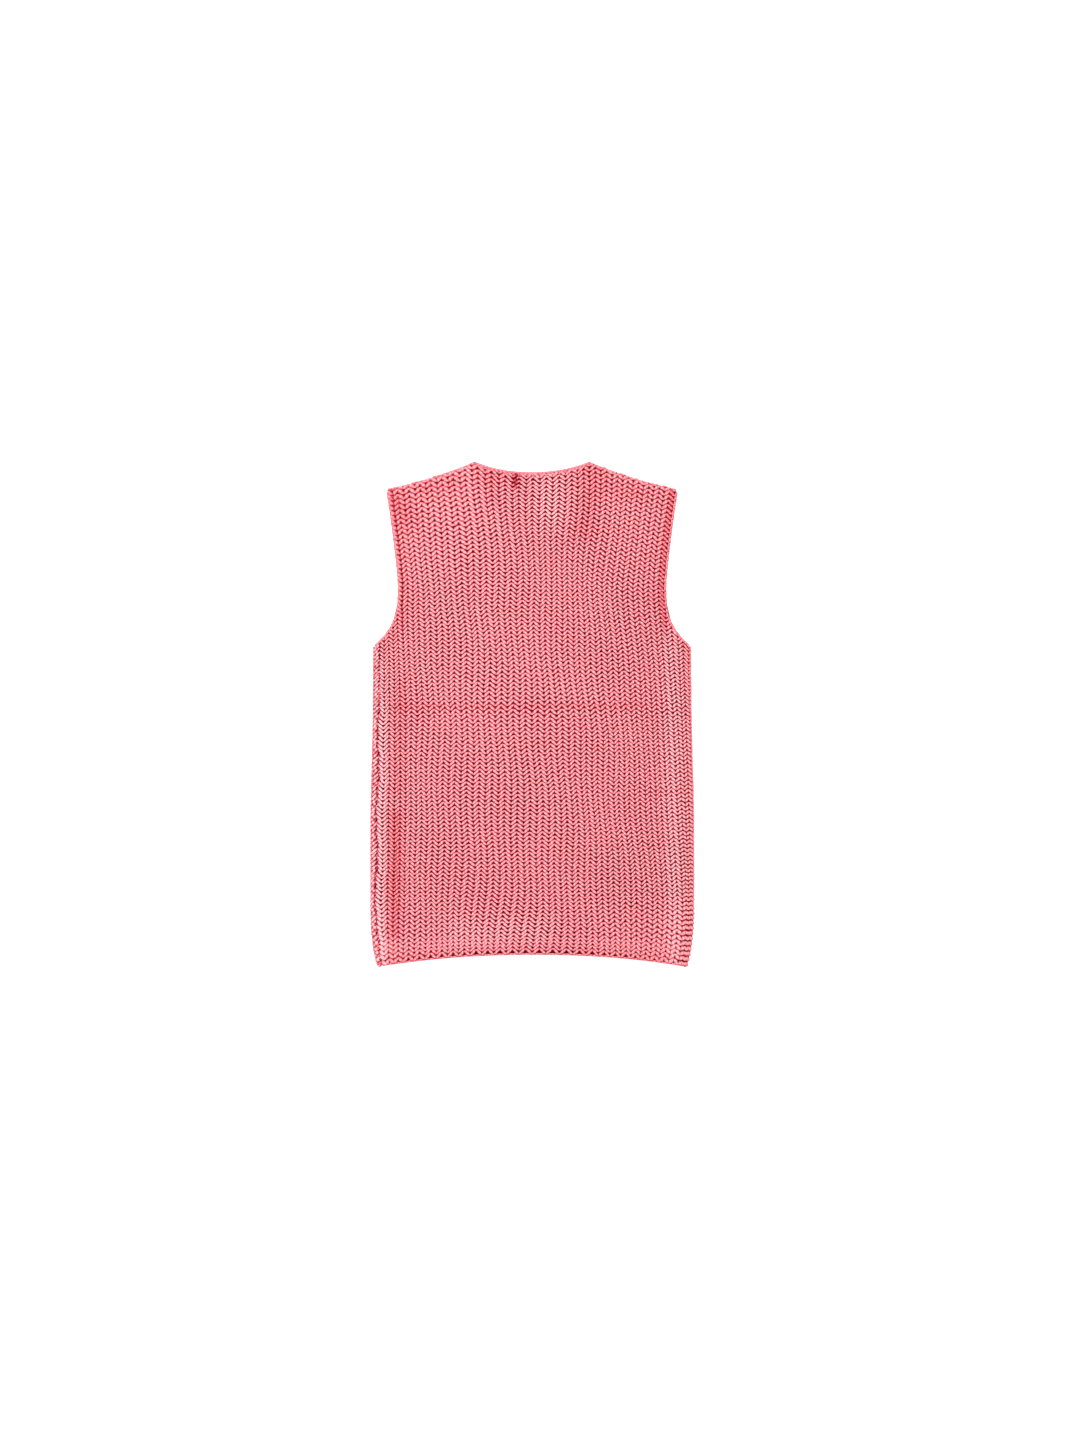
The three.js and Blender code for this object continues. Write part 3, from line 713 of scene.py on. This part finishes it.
def front_rows():
    """The front's rows, in two pieces. Their ribs are pressed flat where they lie on the surface."""
    count = FRONT_COLUMNS * FRONT_POINTS_PER_COLUMN + 1
    column = np.linspace(0.04, FRONT_COLUMNS, count)
    leg = leg_share(column)
    yarns = [Yarn() for _ in range(len(FRONT_CUTS) + 1)]
    for index, s in enumerate(row_levels()):
        x = front_surface(column, np.full(count, s), np.zeros(count))[:, 0]
        base = row_height(s, x)
        _, strip, _, _, total = front_lengths(np.minimum(base, SPLIT_Y))
        a = total * column / FRONT_COLUMNS
        on_top = 1 - ease(strip + 3, strip + QUARTER * BEND_OUTER, a)
        inset = mix(FRONT_INSET, 0, on_top)
        rise = ARCH_RISE * total / FRONT_COLUMNS
        v = base + rise * (arch(column) - ARCH_MIDDLE) + slow_noise(count, 7, ROW_JITTER)
        radius = yarn_radius(v, a, leg, row_spacing(s, x))
        v = np.maximum(v, hem_y(x) + inset + radius * HEM_REST)
        height = yarn_height(column, FRONT_YARN, radius)
        seam = mark(a, STRIP_SEAM_WIDTH) * mix(SEAM_ABOVE, 1, below_crease(s))
        knots = np.sin(2 * np.pi * a / STRIP_KNOT + index * KNOT_SHIFT) * on_top
        radius = radius * (1 + KNOT_SWELL * knots)
        height = height - SEAM_DEPTH * seam + STRIP_LOFT * on_top + KNOT_HEIGHT * knots
        columns = np.clip(column + SEAM_TEETH * (-1) ** index * seam, 0.02, FRONT_COLUMNS)
        columns = columns - seam_wander(s) * FRONT_COLUMNS / total * np.exp(-a / STRIP_SEAM_REACH)
        points = front_surface(columns, v, height)
        normal = front_surface(columns, v, height + 1) - points
        flat_x = points[:, 0]
        to_arm = np.where(v > UNDERARM_Y, armhole_half(v) - np.abs(flat_x) - inset, FAR)
        to_top = top_end(flat_x, front_top(flat_x), ROW_INSETS) - v
        inside = (to_arm > ROW_ARM_INSET) & (to_top > 0)
        # Painted light and shade: legs lighter than turns, an uneven highlight on the strip on top and on its
        # knots, shade in the seam
        level = leg + on_top * (STRIP_HIGHLIGHT + slow_noise(count, 2, STRIP_NOISE))
        level = np.clip(level + KNOT_HIGHLIGHT * knots - STRIP_SEAM_SHADE * seam, *STRIP_LEVELS)
        target = yarns[np.searchsorted(FRONT_CUTS, s, side="right")]
        for p, q in runs(inside):
            target.add(points[p:q], normal[p:q], radius[p:q], FRONT_SIDES, level=level[p:q])
    return [yarn.build(f"front_rows_{k + 1}") for k, yarn in enumerate(yarns)]


def on_back(x, y, height):
    """Points over the back's inner face, along a line given in plan."""
    z = BACK_Z + np.maximum(loft(x, y), LEAST_GAP - LAYER_GAP) + height
    return np.stack([x, y, z], 1)


def seam_stitches(yarn):
    """The yarn that joins the two panels along the left seam: short slanting stitches over the groove."""
    levels = row_levels()
    levels = levels[(levels > HEM_CORNER_Y + 10) & (levels < UNDERARM_Y - 6)]
    t = np.linspace(-1, 1, STITCH_POINTS)
    for s in levels:
        y0 = float(row_height(s, np.array(section("seam", s)))) + rng.normal(0, 0.5)
        reach = STITCH_REACH + rng.normal(0, 0.35)
        x = section("seam", y0) + seam_wander(y0) + reach * t + rng.normal(0, 0.45)
        y = y0 + STITCH_SLANT * t + rng.normal(0, 0.3)
        z = BACK_Z + loft(x, y) + STITCH_HEIGHT - 1.3 * np.abs(t) ** 3 + rng.normal(0, 0.25)
        # Painted shade: darker below the crease, where the seam lies open, and towards each stitch's ends,
        # with a random change from stitch to stitch
        shade = mix(-0.5, 0.7, float(ease(-5, 35, y0))) + rng.normal(0, 0.6)
        yarn.add(np.stack([x, y, z], 1), UP, STITCH_RADIUS, 5, level=shade - 0.6 * np.abs(t))


def back_edges():
    """The selvedge along each armhole, the cast-off edge at the neck, the cast-on edge at the hem, the edges
    along the shoulder seams and the stitches of the left seam."""
    yarn = Yarn()
    y = np.linspace(UNDERARM_Y + 1.5, SHOULDER_TIP_Y - ARM_EDGE_END, 300)
    for side in (-1, 1):
        wave = EDGE_WAVE * np.sin(2 * np.pi * y / ARM_EDGE_STEP + side)
        x = side * (armhole_half(y) - ARM_EDGE_PLACE - wave)
        yarn.add(on_back(x, y, ARM_EDGE_HEIGHT + wave), UP, ARM_EDGE_RADIUS)
    x = np.linspace(-NECK_HALF - 1, NECK_HALF + 1, 220)
    wave = np.sin(2 * np.pi * x / NECK_EDGE_STEP)
    path = on_back(x, back_top(x) - NECK_EDGE_PLACE + 0.12 * wave, NECK_EDGE_HEIGHT + EDGE_WAVE * wave)
    yarn.add(path, UP, NECK_EDGE_RADII[0])
    path = path - np.array([0.0, 2.5, 0.7]) + np.outer(wave, [0.0, 0.25, 0.2])
    # Painted light where this yarn's wave rises, and painted shade where it dips
    yarn.add(path, UP, NECK_EDGE_RADII[1], level=0.5 + 0.3 * wave)
    column = np.linspace(SEAM_COLUMN + 0.1, BEND_COLUMN, 420)
    v = hem_y(column_x(column, np.full(420, HEM_CORNER_Y))) + HEM_EDGE_PLACES[0]
    height = 1.0 + 0.4 * np.sin(np.pi * column) ** 2
    path = back_surface(column, v, height)
    yarn.add(path, back_surface(column, v, height + 1) - path, HEM_EDGE_RADII[0])
    for side in (-1, 1):
        x = side * np.linspace(NECK_HALF + 1, SHOULDER_HALF - 3, 150)
        y = shoulder_y(x) - SHOULDER_EDGE_PLACE + 0.2 * np.sin(2 * np.pi * x / SHOULDER_EDGE_STEP)
        path = np.stack([x, y, np.full(len(x), BEND_Z + 0.4)], 1)
        yarn.add(path, np.array([0.0, 0.5, 0.85]))
    seam_stitches(yarn)
    return yarn.build("back_edges")


def front_edges():
    """The front's own edges, inside the back's."""
    yarn = Yarn()
    y = np.linspace(UNDERARM_Y + 4, SHOULDER_TIP_Y - ARM_EDGE_END, 160)
    for side in (-1, 1):
        x = side * (armhole_half(y) - FRONT_INSET - ARM_EDGE_PLACE)
        path = np.stack([x, y, np.full(len(y), FRONT_EDGE_Z)], 1)
        yarn.add(path, UP, ARM_EDGE_RADIUS, FRONT_SIDES)
    x = np.linspace(-NECK_HALF + 2, NECK_HALF - 2, 160)
    path = np.stack([x, front_top(x) - ARM_EDGE_RADIUS, np.full(len(x), FRONT_EDGE_Z)], 1)
    yarn.add(path, UP, ARM_EDGE_RADIUS, FRONT_SIDES)
    column = np.linspace(0.05, FRONT_COLUMNS, 300)
    height = np.full(300, FRONT_EDGE_Z)
    x = front_surface(column, np.full(300, HEM_CORNER_Y), np.zeros(300))[:, 0]
    v = hem_y(x) + HEM_EDGE_PLACES[1] + np.where(column > STRIP_COLUMNS, FRONT_INSET, 0.0)
    path = front_surface(column, v, height)
    yarn.add(path, front_surface(column, v, height + 1) - path, HEM_EDGE_RADII[1], FRONT_SIDES)
    return yarn.build("front_edges")


def shell(name, surface, columns, in_yoke, bottom, split, top):
    """A thin closed cloth behind the yarn. surface(column, v, height) places it, and bottom, split and top
    give the heights between which each column runs. Its inner face takes the second material."""
    lower, upper = CLOTH_ROWS
    grid = []
    for c in columns:
        a = bottom(c)
        b = split(c)
        vs = list(np.linspace(a, b, lower + 1))
        vs += list(np.linspace(b, top(c), upper + 1)[1:]) if in_yoke(c) else [b] * upper
        grid.append(vs)
    grid = np.array(grid)
    cc = np.repeat(np.asarray(columns, float)[:, None], grid.shape[1], axis=1)
    outer = surface(cc, grid, np.full(grid.shape, CLOTH_HALF)).reshape(-1, 3)
    inner = surface(cc, grid, np.full(grid.shape, -CLOTH_HALF)).reshape(-1, 3)
    rings = grid.shape[1]
    faces = []
    for i in range(len(columns) - 1):
        last = rings - 1 if in_yoke(columns[i]) and in_yoke(columns[i + 1]) else lower
        here = i * rings
        there = here + rings
        for k in range(last):
            faces.append((here + k, there + k, there + k + 1, here + k + 1))
    faces = np.array(faces)
    count = len(outer)
    edges = {}
    for face in faces:
        for p, q in zip(face, np.roll(face, -1)):
            edges[(int(p), int(q))] = True
    rim = [(q, p, p + count, q + count) for p, q in edges if (q, p) not in edges]
    every = np.concatenate([faces, faces[:, ::-1] + count, np.array(rim)])
    used = np.unique(every)
    renumber = np.zeros(2 * count, int)
    renumber[used] = np.arange(len(used))
    piece = new_mesh(name, np.concatenate([outer, inner])[used], renumber[every])
    within = np.zeros(len(every), np.int32)
    within[len(faces):2 * len(faces)] = 1
    piece.data.polygons.foreach_set("material_index", within)
    return piece


def settle(function, x_of, start):
    """The height at which a column meets a line that depends on x."""
    y = start
    for _ in range(6):
        y = float(function(x_of(y)))
    return y


def back_cloth_surface(column, v, height):
    """The cloth is drawn in a little from the armholes, so that only yarn shows along them."""
    points = back_surface(column, v, height)
    reach = np.where(v > SPLIT_Y, np.minimum(armhole_half(v), SHOULDER_HALF) - CLOTH_INSET, FAR)
    points[..., 0] = np.clip(points[..., 0], -reach, reach)
    return points


def back_cloth():
    columns = np.unique(np.concatenate([np.arange(SEAM_COLUMN, BEND_COLUMN + 0.01, 0.5), [RIGHT_COLUMN]]))

    def x_of(c):
        return lambda y: min(float(column_x(np.array(c), np.array(y))), float(bend_x(y)) + BEND_OUTER)

    def bottom(c):
        return settle(hem_y, x_of(c), HEM_CORNER_Y) + CLOTH_HEM_INSET

    def inside(c):
        return LEFT_COLUMN <= c <= RIGHT_COLUMN

    def split(c):
        return SPLIT_Y if inside(c) else settle(armhole_y, x_of(c), UNDERARM_Y) - BACK_SPLIT_INSET

    def top(c):
        x = np.array(x_of(c)(NECK_POINT_Y))
        end = settle(lambda value: back_top(np.array(value)), x_of(c), NECK_POINT_Y)
        return float(top_end(x, end, CLOTH_INSETS))

    return shell("back_panel_cloth", back_cloth_surface, columns, inside, bottom, split, top)


def front_cloth():
    columns = np.arange(0, FRONT_COLUMNS + 0.01, 0.5)

    def x_of(c):
        return lambda y: float(front_surface(np.array(c), np.array(y), np.array(1.0))[0])

    def bottom(c):
        inset = FRONT_INSET if c > STRIP_COLUMNS else 0
        return settle(hem_y, x_of(c), HEM_CORNER_Y) + CLOTH_HEM_INSET + inset

    def inside(c):
        return abs(x_of(c)(200.0)) < CHEST_HALF - FRONT_INSET

    def split(c):
        if inside(c):
            return SPLIT_Y
        return min(SPLIT_Y, settle(armhole_y, x_of(c), UNDERARM_Y)) - FRONT_SPLIT_INSET

    def top(c):
        x = np.array(x_of(c)(NECK_POINT_Y))
        return float(top_end(x, front_top(x), CLOTH_INSETS))

    return shell("front_panel_cloth", front_surface, columns, inside, bottom, split, top)


def socket(node, name, value):
    node.inputs[name].default_value = value


def noise(nodes, links, coordinates, scale, detail=2.0):
    texture = nodes.new("ShaderNodeTexNoise")
    socket(texture, "Scale", scale)
    socket(texture, "Detail", detail)
    links.new(coordinates, texture.inputs["Vector"])
    return texture


def ramp(nodes, links, factor, stops):
    node = nodes.new("ShaderNodeValToRGB")
    elements = node.color_ramp.elements
    while len(elements) < len(stops):
        elements.new(0.5)
    for element, (position, colour) in zip(elements, stops):
        element.position = position
        element.color = (*colour, 1)
    links.new(factor, node.inputs["Fac"])
    return node


def math_node(nodes, links, operation, first, *others):
    node = nodes.new("ShaderNodeMath")
    node.operation = operation
    links.new(first, node.inputs[0])
    for k, other in enumerate(others, 1):
        if isinstance(other, (int, float)):
            socket(node, k, other)
        else:
            links.new(other, node.inputs[k])
    return node


def bump_node(nodes, links, height, strength, distance):
    bump = nodes.new("ShaderNodeBump")
    socket(bump, "Strength", strength)
    socket(bump, "Distance", distance)
    links.new(height, bump.inputs["Height"])
    return bump


def new_material(name, roughness):
    """A material without gloss, and what its nodes are added with."""
    material = bpy.data.materials.new(name)
    material.use_nodes = True
    tree = material.node_tree
    shader = tree.nodes["Principled BSDF"]
    socket(shader, "Roughness", roughness)
    socket(shader, "Specular IOR Level", 0.0)
    return material, tree.nodes, tree.links, shader


def yarn_material(name, dark, middle, light):
    """Smooth plied yarn: two plies twisted round each other and fine fibres in its bumps; its colour holds
    painted highlights on its upper side and along the plies, the painted light and shade of its Depth UVs,
    and random flecks.
    """
    material, nodes, links, shader = new_material(name, 0.6)
    coordinates = nodes.new("ShaderNodeTexCoord")
    place = coordinates.outputs["Object"]
    round_it = nodes.new("ShaderNodeSeparateXYZ")
    links.new(coordinates.outputs["UV"], round_it.inputs["Vector"])
    turn = math_node(nodes, links, "MULTIPLY", round_it.outputs["Y"], 2 * math.pi)
    upward = math_node(nodes, links, "SINE", turn.outputs[0])
    # The Depth UVs carry the painted light and shade of each yarn
    light_level_map = nodes.new("ShaderNodeUVMap")
    light_level_map.uv_map = "Depth"
    depth = nodes.new("ShaderNodeSeparateXYZ")
    links.new(light_level_map.outputs["UV"], depth.inputs["Vector"])
    flecks = noise(nodes, links, place, 420.0, 3.0)
    # A painted highlight on the yarn's upper side, falling off to painted shade at its sides
    lit = math_node(nodes, links, "MAXIMUM", upward.outputs[0], 0.0)
    crest = math_node(nodes, links, "POWER", lit.outputs[0], 1.9)
    face = math_node(nodes, links, "MULTIPLY_ADD", crest.outputs[0], TOP_HIGHLIGHT_SHARE, LEVEL_START)
    deep = math_node(nodes, links, "MULTIPLY_ADD", depth.outputs["X"], LIGHT_LEVEL_SHARE, face.outputs[0])
    fleck = math_node(nodes, links, "MULTIPLY_ADD", flecks.outputs["Fac"], FLECK_SHARE, deep.outputs[0])
    twist = nodes.new("ShaderNodeTexWave")
    twist.wave_type = "BANDS"
    twist.bands_direction = "DIAGONAL"
    mapping = nodes.new("ShaderNodeMapping")
    socket(mapping, "Scale", (PLY_TWIST, PLY_TWIST, 1.0))
    links.new(coordinates.outputs["UV"], mapping.inputs["Vector"])
    links.new(mapping.outputs["Vector"], twist.inputs["Vector"])
    socket(twist, "Scale", 1.0)
    socket(twist, "Distortion", 1.2)
    socket(twist, "Detail", 1.0)
    # The plies' twist paints highlights along their crests, as well as bumping them
    tone = math_node(nodes, links, "MULTIPLY_ADD", twist.outputs["Fac"], PLY_HIGHLIGHT_SHARE, fleck.outputs[0])
    colours = ramp(nodes, links, tone.outputs[0], [(0.0, dark), (0.55, middle), (1.0, light)])
    links.new(colours.outputs["Color"], shader.inputs["Base Color"])
    fibres = noise(nodes, links, place, 1500.0)
    fine = bump_node(nodes, links, fibres.outputs["Fac"], 0.25, 0.0003)
    plies = bump_node(nodes, links, twist.outputs["Fac"], 0.55, 0.0009)
    links.new(fine.outputs["Normal"], plies.inputs["Normal"])
    links.new(plies.outputs["Normal"], shader.inputs["Normal"])
    return material


def cloth_material(name, dark, light):
    """The loops behind the rows of yarn, in bands across the body, with painted shade in the gaps between
    them.
    """
    material, nodes, links, shader = new_material(name, 0.9)
    coordinates = nodes.new("ShaderNodeTexCoord")
    loops = nodes.new("ShaderNodeTexWave")
    loops.wave_type = "BANDS"
    loops.bands_direction = "Y"
    socket(loops, "Scale", 57.0)
    socket(loops, "Distortion", 1.5)
    socket(loops, "Detail", 2.0)
    socket(loops, "Detail Scale", 1.5)
    links.new(coordinates.outputs["Object"], loops.inputs["Vector"])
    colours = ramp(nodes, links, loops.outputs["Fac"], [(0.2, dark), (0.8, light)])
    links.new(colours.outputs["Color"], shader.inputs["Base Color"])
    bump = bump_node(nodes, links, loops.outputs["Fac"], 0.7, 0.001)
    links.new(bump.outputs["Normal"], shader.inputs["Normal"])
    return material


def floor_material():
    material = bpy.data.materials.new("pale_floor")
    material.use_nodes = True
    shader = material.node_tree.nodes["Principled BSDF"]
    socket(shader, "Base Color", (0.6, 0.6, 0.6, 1))
    socket(shader, "Roughness", 0.9)
    socket(shader, "Emission Color", (1, 1, 1, 1))
    socket(shader, "Emission Strength", 0.7)
    return material


def make_stage():
    mesh = bpy.data.meshes.new("floor")
    corners = [(-1, -1), (1, -1), (1, 1), (-1, 1)]
    mesh.from_pydata([(FLOOR_HALF * x, FLOOR_HALF * y, FLOOR_Z) for x, y in corners], [], [(0, 1, 2, 3)])
    floor = bpy.data.objects.new("floor", mesh)
    floor.data.materials.append(floor_material())
    bpy.context.scene.collection.objects.link(floor)


def make_camera():
    camera = bpy.data.cameras.new("camera")
    camera.lens = LENS_MM
    camera.sensor_width = SENSOR_MM
    camera.clip_end = 100
    holder = bpy.data.objects.new("camera", camera)
    distance = LENS_MM / SENSOR_MM * FRAME_LONG_PX * PX_MM * MM
    holder.location = (CAMERA_OFFSET, -CAMERA_OFFSET, distance + GARMENT_TOP)
    bpy.context.scene.collection.objects.link(holder)
    bpy.context.scene.camera = holder


def area_light(name, place, size, power):
    """A round light at a place, turned towards the garment."""
    light = bpy.data.lights.new(name, "AREA")
    light.shape = "DISK"
    light.size = size
    light.energy = power
    holder = bpy.data.objects.new(name, light)
    holder.location = place
    direction = -np.array(place) / np.linalg.norm(place)
    pitch = math.acos(-direction[2])
    holder.rotation_euler = (pitch, 0, math.atan2(direction[0], -direction[1]) + math.pi)
    bpy.context.scene.collection.objects.link(holder)


def make_light():
    world = bpy.data.worlds.new("studio")
    bpy.context.scene.world = world
    world.use_nodes = True
    background = world.node_tree.nodes["Background"]
    socket(background, "Color", AMBIENT)
    socket(background, "Strength", AMBIENT_STRENGTH)
    area_light("key", KEY_PLACE, KEY_SIZE, KEY_POWER)
    area_light("fill", FILL_PLACE, FILL_SIZE, FILL_POWER)


def main():
    make_camera()
    make_light()
    make_stage()
    view = bpy.context.scene.view_settings
    view.view_transform = "Standard"
    view.look = "None"

    back_yarn = yarn_material("coral_yarn", *BACK_COLOURS)
    front_yarn = yarn_material("coral_yarn_front", *FRONT_COLOURS)
    # The loops' colours are painted shade for the holes between the rows
    loops = cloth_material("coral_loops_painted_shade", *LOOP_SHADE_COLOURS)
    purl = cloth_material("coral_inside", *PURL_COLOURS)

    back = back_cloth()
    front = front_cloth()
    back_parts = [*back_rows(), back_edges()]
    front_parts = [*front_rows(), front_edges()]
    panels = [
        (back, "back_panel", back_parts, back_yarn),
        (front, "front_panel", front_parts, front_yarn),
    ]
    for piece, node, parts, yarn in panels:
        piece.data.materials.append(loops)
        piece.data.materials.append(purl)
        for part in parts:
            part.data.materials.append(yarn)
        for part in (piece, *parts):
            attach(part, "root")
        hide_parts(node)


main()
